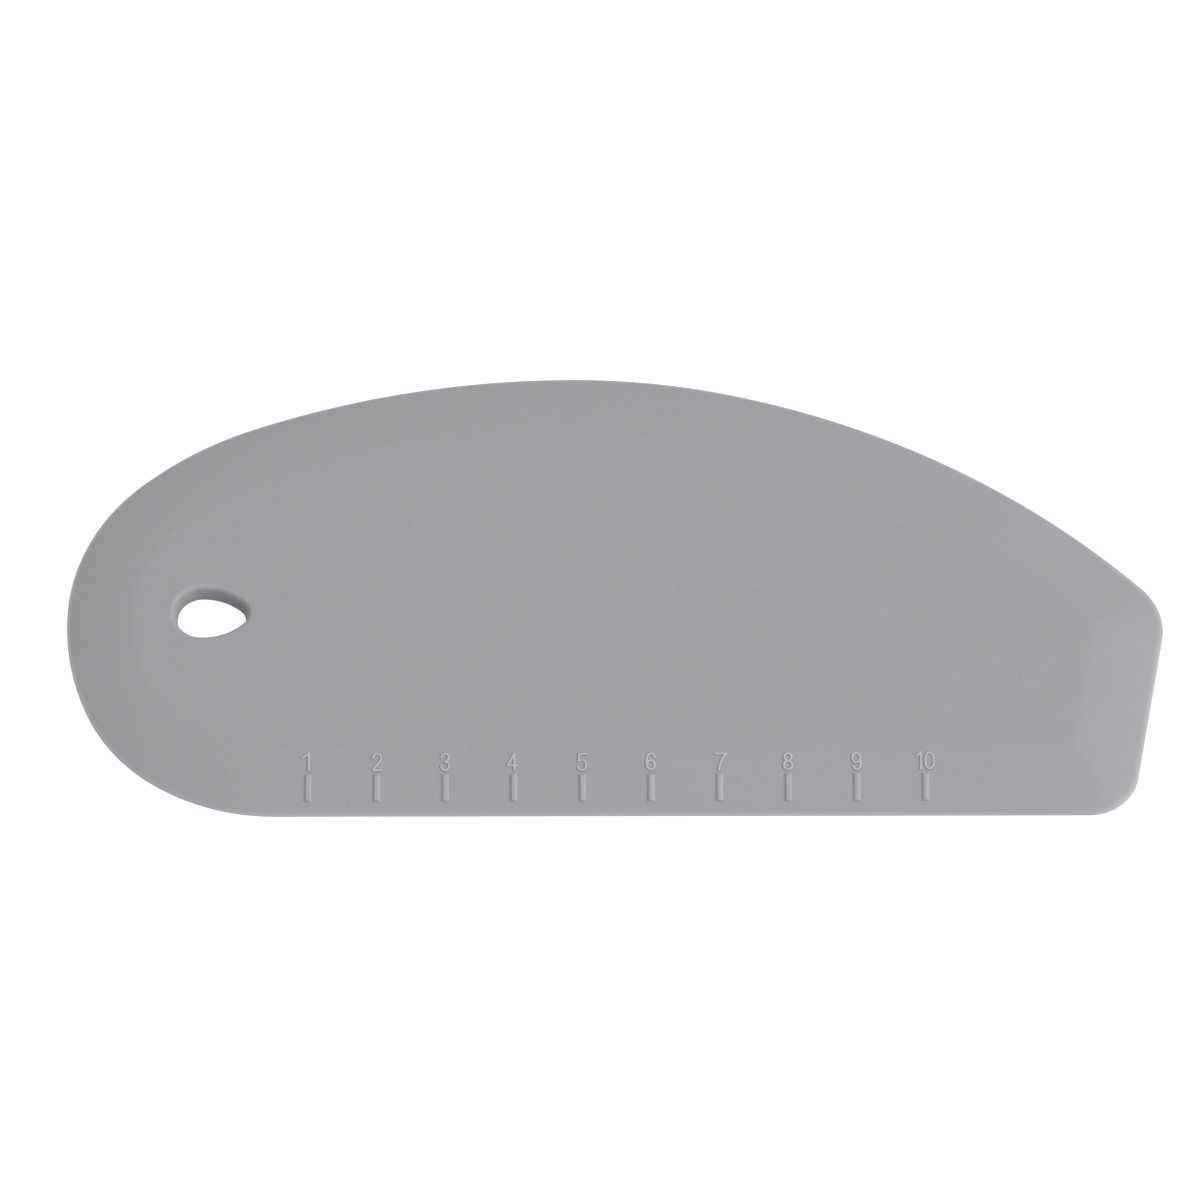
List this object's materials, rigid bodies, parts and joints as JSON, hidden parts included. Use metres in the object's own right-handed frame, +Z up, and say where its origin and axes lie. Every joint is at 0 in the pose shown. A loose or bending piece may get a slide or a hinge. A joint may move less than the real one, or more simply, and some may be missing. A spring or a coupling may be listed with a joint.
{
  "type": "bowl scraper",
  "caption": "Flat silicone bowl scraper with a curved edge, a straight edge with a raised centimetre scale, bevels all round and a hanging eye.",
  "frame": {"origin": "middle of the blade's overall length and width, on its flat back", "axes": "+X along the straight scraping edge towards the slanted toe, +Y from the straight edge to the curved back, +Z up out of the bevelled face"},
  "size_m": [0.1612, 0.0744, 0.0028],
  "materials": {
    "silicone": "matte moulded silicone",
    "nylon": "moulded natural nylon"
  },
  "bodies": {
    "root": {"silicone_body": "silicone", "stiffener_core": "nylon"}
  },
  "joints": []
}
